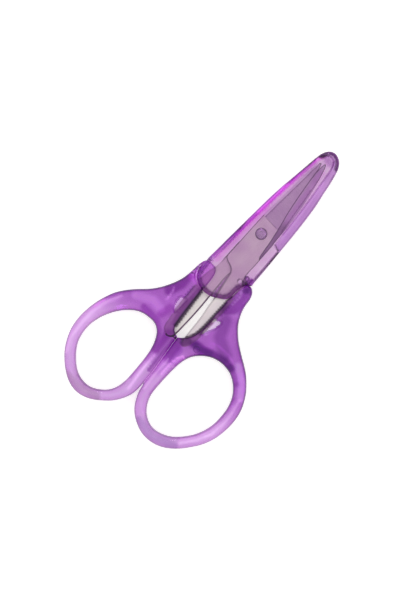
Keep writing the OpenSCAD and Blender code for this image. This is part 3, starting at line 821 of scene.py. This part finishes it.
def plate(name, outline, sign, line_a, line_b, cut_side, holes, mats):
    """A stamped plate with softly rounded edges and a ground bevel on its outer face.
    sign is +1 when the outer face looks up. line_a and line_b start and end the bevel's inner line."""
    a, b = np.array(line_a) * K, np.array(line_b) * K
    t = (b - a) / np.linalg.norm(b - a)
    n = np.array([t[1], -t[0]]) * cut_side          # towards the cutting edge

    def across(p):
        return (p - a) @ n

    def along(p):
        return (p - a) @ t

    def outer_face(p, do, dh):
        d = np.minimum(do, dh)
        z = BT - 0.12 * (1 - dome(d, 0.12))
        w, l = across(p), along(p)
        drop = np.clip(w, 0, None) * BEVEL_DEPTH / (6.8 * K)
        on = step(l, 0.0, 0.03) * step(w, 0.0, 0.02)
        return z - drop * on

    def inner_face(p, do, dh):
        d = np.minimum(do, dh)
        return 0.1 * (1 - dome(d, 0.1))

    if sign > 0:
        top = lambda p, do, dh: ZM + FACE + outer_face(p, do, dh)
        bottom = lambda p, do, dh: ZM + FACE + inner_face(p, do, dh)
    else:
        top = lambda p, do, dh: ZM - FACE - inner_face(p, do, dh)
        bottom = lambda p, do, dh: ZM - FACE - outer_face(p, do, dh)
    wide = n * 12
    lines = [(np.array([a + wide * 1.0, a - n * 0.02]), False),
             (np.array([a + t * 0.03 + wide, a + t * 0.03 - n * 0.02]), False),
             (np.array([a, b + t * 3]), False)]
    ob = slab(name, outline, holes, top, bottom, [0.03, 0.07, 0.12, 0.2, 0.32, 0.46, 0.68], spacing=0.35, grid=0.6, lines=lines, wall=2)
    me = ob.data
    for m in mats:
        me.materials.append(m)
    co = np.array([v.co for v in me.vertices])
    for poly in me.polygons:
        c = np.array(poly.center) * 1000
        p2 = np.array([[c[0] - PX, c[1] - PY]])
        up_face = poly.normal.z * sign
        w, l = across(p2)[0], along(p2)[0]
        if up_face > 0.5 and w > 0.0 and l > 0.05:
            poly.material_index = 1
        elif up_face > 0.5 and l > 0.05:
            poly.material_index = 3
        # inner faces beside the blades get the painted-shade steel
        elif up_face < -0.5 and p2[0][1] > -7.8 * K:
            poly.material_index = 2
    q, _ = plan(ob)
    # Painted shade: dark lines along the plate's edges, wider on the tangs with a strength that changes where they pass
    # under the cap, none along the spine, and a dark line along the bevel's step.
    d = np.minimum(dist(q, ccw(resample(outline, 0.3))), np.min([dist(q, hh) for hh in holes], axis=0))
    tang = 1 - step(q[:, 1] / K, -18, -14)
    hidden = step(q[:, 1] / K, -30, -28)
    bare = np.where(q[:, 0] / K < 5.2, 0.3 + 0.3 * hidden, 0.12) if sign > 0 else np.where(q[:, 0] / K > -1.6, 1 - 0.45 * hidden, 0.12)
    m = (1 - step(d, 0.08 + 0.36 * tang, 0.3 + 0.30 * tang))[:, None] * (1 + (bare - 1) * tang)[:, None]
    t3 = 1 + (np.array([0.16, 0.09, 0.18]) - 1) * m
    spine = (across(q) < -0.15) & (along(q) > 0.3)
    t3 = np.where(spine[:, None], 1.0, t3)
    edge = (1 - step(np.abs(across(q)), 0.03, 0.2)) * step(along(q), -0.1, 0.1)
    t3 = t3 * (1 + (np.array([0.55, 0.42, 0.58]) - 1) * edge[:, None])
    # Painted shade on the steel: dark lines where the moulding meets the tangs, a painted shadow of the front blade on
    # the back blade beside the pivot, and the front tang slightly darker down its middle.
    if sign < 0:
        t3 = strokes(q, t3, [([[5.4, -8], [5.3, 0], [4.6, 6]], 1.0, 4.0, (0.62, 0.5, 0.64)),
                             ([[-2.0, -30], [-1.6, -35], [-1.3, -38.5], [-0.95, -42], [-0.6, -45.6]], 0.3, 0.3, (0.14, 0.08, 0.16))])
    else:
        t3 = strokes(q, t3, [([[7.2, -24], [7.1, -30], [7.0, -34], [7.0, -38], [6.8, -41.4], [6.1, -44.1], [4.9, -46.1]], 0.3, 0.3,
                              (0.14, 0.08, 0.16)), ([[5.4, -30], [5.5, -40], [5, -44]], 1.2, 0.6, (0.92, 0.89, 0.93))])
    attribute(ob, "Tint", t3)
    return ob


def bore(x, y, r, n=48):
    return circle(x, y, r, n)


front_outline = np.vstack([run(FRONT_SPINE), run(FRONT_BACK_EDGE), run(FRONT_EDGE), run(FRONT_TANG)])
back_outline = np.vstack([run(BACK_SPINE), run(BACK_BACK_EDGE), run(BACK_EDGE), run(BACK_TANG)])
front_blade = plate("front_blade_steel", front_outline, 1, (-3.1, 5.5), (-1.3, 33), 1,
                    [bore(0, 0, 1.3), bore(6, -18, 0.75, 28)], (STEEL, GROUND, SHADED_INNER_STEEL, POLISHED))
back_blade = plate("back_blade_steel", back_outline, -1, (5.1, 5.5), (1.9, 33), -1,
                   [bore(0, 0, 1.3)], (STEEL, GROUND, SHADED_INNER_STEEL, POLISHED))
for ob, body, node in ((front_blade, "right_half", "front_blade"), (back_blade, "left_half", "back_blade")):
    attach(ob, body)
    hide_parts(node)


# ----------------------------------------------------------------------------
# Rivet
# ----------------------------------------------------------------------------
def lathe(name, profile, n=72):
    prof = np.array(profile, float)
    v, f = [], []
    idx = []
    for r, z in prof:
        if r < 1e-6:
            idx.append([len(v)])
            v.append((0, 0, z))
        else:
            idx.append(list(range(len(v), len(v) + n)))
            v += [(r * math.cos(2 * math.pi * i / n), r * math.sin(2 * math.pi * i / n), z) for i in range(n)]
    for a, b in zip(idx[:-1], idx[1:]):
        for i in range(n):
            j = (i + 1) % n
            if len(a) == 1 and len(b) == 1:
                continue
            if len(a) == 1:
                f.append((a[0], b[j], b[i]))
            elif len(b) == 1:
                f.append((a[i], a[j], b[0]))
            else:
                f.append((a[i], a[j], b[j], b[i]))
    return make_object(name, place(v), f)


def head_profile(face, sgn):
    hd, hh = 2.2, 0.8
    pr = [(1.25, ZM + sgn * face), (hd - 0.08, ZM + sgn * face), (hd, ZM + sgn * (face + 0.06))]
    for a in range(10, 90, 8):
        r = hd * math.cos(math.radians(a)) ** 0.9
        z = face + 0.1 + (hh - 0.1) * math.sin(math.radians(a)) ** 0.85
        pr.append((r, ZM + sgn * z))
    # Small flat left by the peening tool.
    pr += [(0.34, ZM + sgn * (face + hh - 0.004)), (0.22, ZM + sgn * (face + hh - 0.05)), (0, ZM + sgn * (face + hh - 0.06))]
    return pr


face = BT + FACE + 0.02
profile = head_profile(face, 1)[::-1] + head_profile(face, -1)
pivot = lathe("pivot_rivet_peened", profile)
pivot.data.materials.append(RIVET)
q, _ = plan(pivot)
rr = np.linalg.norm(q, axis=1)
# Painted shade: the head darkens towards its rim.
attribute(pivot, "Tint", 1 + (np.array([0.42, 0.34, 0.44]) - 1) * step(rr, 1.2, 2.1)[:, None])
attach(pivot, "pivot")
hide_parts("pivot_rivet")


# ----------------------------------------------------------------------------
# Cap: a rounded shell with a stepped cavity, cut open at the mouth
# ----------------------------------------------------------------------------
RIM = 1.75
LIP = run(CAP_LIP[2:] + [[-8.5, -20]])
LIP_IN = run([[9.2, -14.5], [7.2, -15.6], [6.3, -17.6], [6.1, -20.5], [6.05, -23.6], [5.4, -25.2], [4, -26.1], [2.6, -26.8],
              [1.1, -27.4], [0, -27.7], [-1.7, -27.85], [-3, -27.6], [-4.4, -27.1], [-5.6, -26.3], [-6.4, -25.4],
              [-6.6, -24], [-6.75, -22.4], [-6.8, -20.2]])


def cap_half(p, do, dh):
    y = p[:, 1] / K
    h = HT - 0.45 * step(y, 8, 39)
    lip = dist(p, LIP, closed=False)
    return h - 1.3 * (1 - dome(do, 1.35)) - 0.42 * np.clip(1 - lip / RIM, 0, 1) * step(RIM * 0.999 - lip, 0, 0.02)


def cavity_half(p, do, dh):
    y = p[:, 1] / K
    h = 2.4 - 0.45 * step(y, 10, 37)
    return h - 0.5 * (1 - dome(do, 0.5))


def side_line(line, d):
    t = np.gradient(resample(line, 0.4, False), axis=0)
    n = np.stack([t[:, 1], -t[:, 0]], 1)
    return resample(line, 0.4, False) + d * n / np.linalg.norm(n, axis=1, keepdims=True)


CAV_LINE = np.vstack([run(CAVITY_LEFT), run(CAVITY_RIGHT)])
outer = slab("cap_outer", np.vstack([run(CAP_RIGHT), run(CAP_LIP), run(CAP_LEFT)]), [],
             lambda p, a, b: ZM + cap_half(p, a, b), lambda p, a, b: ZM - cap_half(p, a, b),
             arc_rows(1.35, 6), spacing=0.4, grid=0.8, wall=2, lines=[(LIP_IN, False), (side_line(LIP_IN, 0.3), False), (side_line(LIP_IN, -0.3), False),
                    (CAV_LINE, False), (side_line(CAV_LINE, 0.3), False), (side_line(CAV_LINE, -0.3), False)])
cav_outline = np.vstack([run(CAVITY_RIGHT), np.array(CAVITY_MOUTH) * K, run(CAVITY_LEFT)])
inner = slab("cap_inner", cav_outline, [],
             lambda p, a, b: ZM + cavity_half(p, a, b), lambda p, a, b: ZM - cavity_half(p, a, b),
             arc_rows(0.5, 4), spacing=0.4, grid=1.0, wall=2)


def subtract(name, a, b):
    md = a.modifiers.new("cut", "BOOLEAN")
    md.operation = "DIFFERENCE"
    md.solver = "EXACT"
    md.object = b
    bpy.context.view_layer.update()
    dg = bpy.context.evaluated_depsgraph_get()
    me = bpy.data.meshes.new_from_object(a.evaluated_get(dg))
    me.name = name
    ob = bpy.data.objects.new(name, me)
    bpy.context.scene.collection.objects.link(ob)
    for o in (a, b):
        bpy.data.objects.remove(o)
    return ob


cap = subtract("blade_cap_shell", outer, inner)
me = cap.data
me.polygons.foreach_set("use_smooth", [True] * len(me.polygons))
me.set_sharp_from_angle(angle=math.radians(38))
me.materials.clear()
me.materials.append(CAP)
q, qz = plan(cap)
CAP_SHADE_MARKS = [
    # a faint purple strip, lower in green, down the middle of the faces
    ([[4.0, 9], [3.1, 17], [2.2, 24], [1.2, 31]], 0.5, 0.9, (0.985, 0.83, 1.0)),
    # painted shade: dark lines along the outer edges
    ([[5.9, 33], [7.2, 25.5], [8.5, 16], [9.2, 5.5], [9.7, -5], [10, -14]], 0.3, 0.6, (0.46, 0.38, 0.48)),
    ([[8.8, 1], [7.9, 11], [6.8, 20], [5.6, 28], [4.4, 33.5]], 0.8, 0.7, (0.92, 0.86, 0.92)),
    ([[-8.1, -14], [-7.6, -5], [-6.85, 7], [-6, 17], [-4.8, 25.5], [-3.75, 33.5]], 0.25, 0.45, (0.28, 0.10, 0.40)),
    # painted shade along the left wall, deepest at the mouth
    ([[-7.9, -17], [-7.4, -8], [-6.9, 0], [-6.2, 9], [-5.4, 17], [-4.4, 25], [-3.5, 32]], 0.6, 0.9, (0.86, 0.46, 0.90)),
    ([[-7.9, -18], [-7.5, -10], [-7.1, -3]], 0.3, 0.7, (0.62, 0.32, 0.70)),
    ([[-6.2, -17], [-5.9, -8], [-5.5, 0], [-4.8, 8]], 0.7, 1.4, (1.0, 0.84, 1.0)),
    # painted shade round the tip rim
    ([[-3.2, 36.0], [-2.2, 38], [-0.9, 39.1], [0.6, 39.5], [2.4, 39], [4, 37.7], [5, 35.8]], 1.0, 0.6, (0.13, 0.02, 0.16)),
    ([[4.6, 36.6], [5.4, 34.6], [6.1, 31.8]], 0.35, 0.6, (0.60, 0.45, 0.66)),
    ([[-3.4, 35.4], [-2.4, 38], [-0.9, 39.3], [0.6, 39.7]], 0.4, 0.6, (0.6, 0.4, 0.68)),
    ([[-3.6, 33], [-2.2, 36.6]], 0.5, 0.9, (1.0, 0.59, 1.0)),
    ([[0, 36.4], [1.6, 36]], 0.9, 1.4, (0.84, 0.72, 0.88)),
    # painted shade lines where the cavity's walls stand
    ([[2, 37.2], [3, 35.6], [3.6, 33], [4.6, 24], [5.6, 14], [6.2, 5]], 0.02, 0.3, (0.66, 0.46, 0.72)),
    ([[-6.45, -4], [-6.25, 1], [-5.8, 8], [-5.35, 14], [-4.85, 20], [-4.2, 26], [-3.5, 31]], 0.02, 0.3, (0.74, 0.5, 0.8)),
    ([[6.5, 0.6], [8.75, -0.4], [9, -6], [9.2, -14]], 0.08, 0.25, (0.50, 0.34, 0.56)),
    ([[8.9, -15.2], [9.6, -18]], 0.7, 0.5, (0.50, 0.16, 0.60)),
]
# Painted shade: a dark band along the lip, coloured differently on the left, and a darker line at its inner edge.
lipd = dist(q, LIP, closed=False)
lip_band_shade = (1 - step(lipd, RIM - 0.1, RIM + 0.12))[:, None]
line = (1 - step(np.abs(lipd - RIM), 0.04, 0.3))[:, None]
tint = strokes(q, (0.99, 0.91, 0.97), CAP_SHADE_MARKS)
left = 1 - step(q[:, 0] / K, -5.5, -2)[:, None]
tint = tint * (1 + (np.array([0.39, 0.17, 0.46]) * (1 - left) + np.array([0.50, 0.22, 0.62]) * left - 1) * lip_band_shade) * (1 + (np.array([0.75, 0.6, 0.78]) - 1) * line)
# painted shade: a dark strip on the lower lip between the tangs, where the gap lies in shade
low = (qz < ZM - 1.5)[:, None] * (1 - step(dist(q / K, np.array([[1.5, -19.5], [1.9, -24], [2.3, -29.2]]), closed=False), 0.5, 0.9))[:, None]
tint = tint * (1 + (np.array([0.46, 0.28, 0.52]) - 1) * low)
attribute(cap, "Tint", tint)
# Painted glow: light piped along the left wall, and highlight lines along the right wall and round the cavity's tip.
CAP_PAINTED_GLOW = [
    ([[-6.9, -6], [-6.5, 2], [-5.9, 10], [-5.2, 18], [-4.4, 25]], 0.2, 0.9, (0.05, 0.0, 0.055)),
    ([[-6.2, 5], [-5.75, 11], [-5.35, 16], [-4.9, 20]], 0.08, 0.5, (0.17, 0.03, 0.16)),
    ([[6.6, 3], [6.0, 13], [5.2, 22], [4.4, 29]], 0.02, 0.28, (0.06, 0.04, 0.06)),
    ([[-2.4, 36.4], [-1.2, 37.6], [0.6, 37.9], [2.4, 37.2]], 0.02, 0.26, (0.07, 0.06, 0.07)),
]
attribute(cap, "PaintedGlow", painted_glow(q, CAP_PAINTED_GLOW))
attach(cap, "cap")
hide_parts("blade_cap")

# ----------------------------------------------------------------------------
# Floor, light and camera
# ----------------------------------------------------------------------------
floor_me = bpy.data.meshes.new("floor")
floor_me.from_pydata([(-3, -3, -0.0002), (3, -3, -0.0002), (3, 3, -0.0002), (-3, 3, -0.0002)], [], [(0, 1, 2, 3)])
floor = bpy.data.objects.new("floor", floor_me)
bpy.context.scene.collection.objects.link(floor)
fm, nt, bs, out = new_material("pale_floor")
bs.inputs["Base Color"].default_value = (0.86, 0.85, 0.84, 1)
bs.inputs["Roughness"].default_value = 0.9
bs.inputs["Specular IOR Level"].default_value = 0.0
bs.inputs["Emission Color"].default_value = (1.0, 0.992, 0.97, 1)
bs.inputs["Emission Strength"].default_value = 0.60
floor_me.materials.append(fm)

# White tent: a plain bright surround with a soft window towards the top of the picture and a
# dim opening straight above, where the camera looks in.
world = bpy.data.worlds.new("studio")
bpy.context.scene.world = world
world.use_nodes = True
wn = world.node_tree
for nd in list(wn.nodes):
    wn.nodes.remove(nd)
wo = wn.nodes.new("ShaderNodeOutputWorld")
bg = wn.nodes.new("ShaderNodeBackground")
tc = wn.nodes.new("ShaderNodeTexCoord")


def lobe(direction, inner, outer):
    """1 within inner degrees of a direction, falling to 0 at outer degrees."""
    v = Vector(direction).normalized()
    dp = wn.nodes.new("ShaderNodeVectorMath")
    dp.operation = "DOT_PRODUCT"
    dp.inputs[1].default_value = v
    wn.links.new(tc.outputs["Generated"], dp.inputs[0])
    mr = wn.nodes.new("ShaderNodeMapRange")
    mr.interpolation_type = "SMOOTHSTEP"
    mr.inputs["From Min"].default_value = math.cos(math.radians(outer))
    mr.inputs["From Max"].default_value = math.cos(math.radians(inner))
    wn.links.new(dp.outputs["Value"], mr.inputs["Value"])
    return mr.outputs["Result"]


def scaled(sock, f, plus=0.0):
    m = wn.nodes.new("ShaderNodeMath")
    m.operation = "MULTIPLY_ADD"
    m.inputs[1].default_value = f
    m.inputs[2].default_value = plus
    wn.links.new(sock, m.inputs[0])
    return m.outputs[0]


def plus(a, b):
    m = wn.nodes.new("ShaderNodeMath")
    m.operation = "ADD"
    wn.links.new(a, m.inputs[0])
    wn.links.new(b, m.inputs[1])
    return m.outputs[0]


UP = Vector((-0.669, 0.743, 0))
RIGHT = Vector((0.743, 0.669, 0))


def aim(az_up, el):
    """Direction from an angle clockwise from the picture's top, and a height, in degrees."""
    h = UP * math.cos(math.radians(az_up)) + RIGHT * math.sin(math.radians(az_up))
    return h * math.cos(math.radians(el)) + Vector((0, 0, math.sin(math.radians(el))))


sep = wn.nodes.new("ShaderNodeSeparateXYZ")
wn.links.new(tc.outputs["Generated"], sep.inputs["Vector"])
rim = wn.nodes.new("ShaderNodeMapRange")
rim.interpolation_type = "SMOOTHSTEP"
rim.inputs["From Min"].default_value = 0.0
rim.inputs["From Max"].default_value = 0.60
rim.inputs["To Min"].default_value = -0.62
rim.inputs["To Max"].default_value = 0.0
wn.links.new(sep.outputs["Z"], rim.inputs["Value"])
level = scaled(lobe((0, 0, 1), 11, 33), -0.26, 0.96)
level = plus(level, rim.outputs["Result"])
level = plus(level, scaled(lobe(aim(0, 56), 8, 24), 0.15))
level = plus(level, scaled(lobe(aim(4, 50), 1.5, 4.0), 14.0))
level = plus(level, scaled(lobe(aim(90, 55), 3, 8), 1.6))
bg.inputs["Color"].default_value = (1.0, 0.99, 0.985, 1)
wn.links.new(level, bg.inputs["Strength"])
wn.links.new(bg.outputs["Background"], wo.inputs["Surface"])

TARGET = Vector(((-0.2 + PX) / 1000, (-32.7 + PY) / 1000, ZM / 1000))
cam_data = bpy.data.cameras.new("camera")
cam_data.type = "PERSP"
cam_data.lens = 110.0
cam_data.sensor_width = 36.0
cam_data.sensor_fit = "AUTO"
FRAME_H = 0.21833
DIST = FRAME_H / 2 / math.tan(math.atan(18.0 / cam_data.lens))
cam = bpy.data.objects.new("camera", cam_data)
cam.location = TARGET + Vector((0, 0, DIST))
cam.rotation_mode = "XYZ"
cam.rotation_euler = (0, 0, math.radians(42))
cam_data.clip_start, cam_data.clip_end = 0.01, 20.0
bpy.context.scene.collection.objects.link(cam)
bpy.context.scene.camera = cam
bpy.context.scene.view_settings.view_transform = "Standard"
bpy.context.scene.view_settings.look = "None"
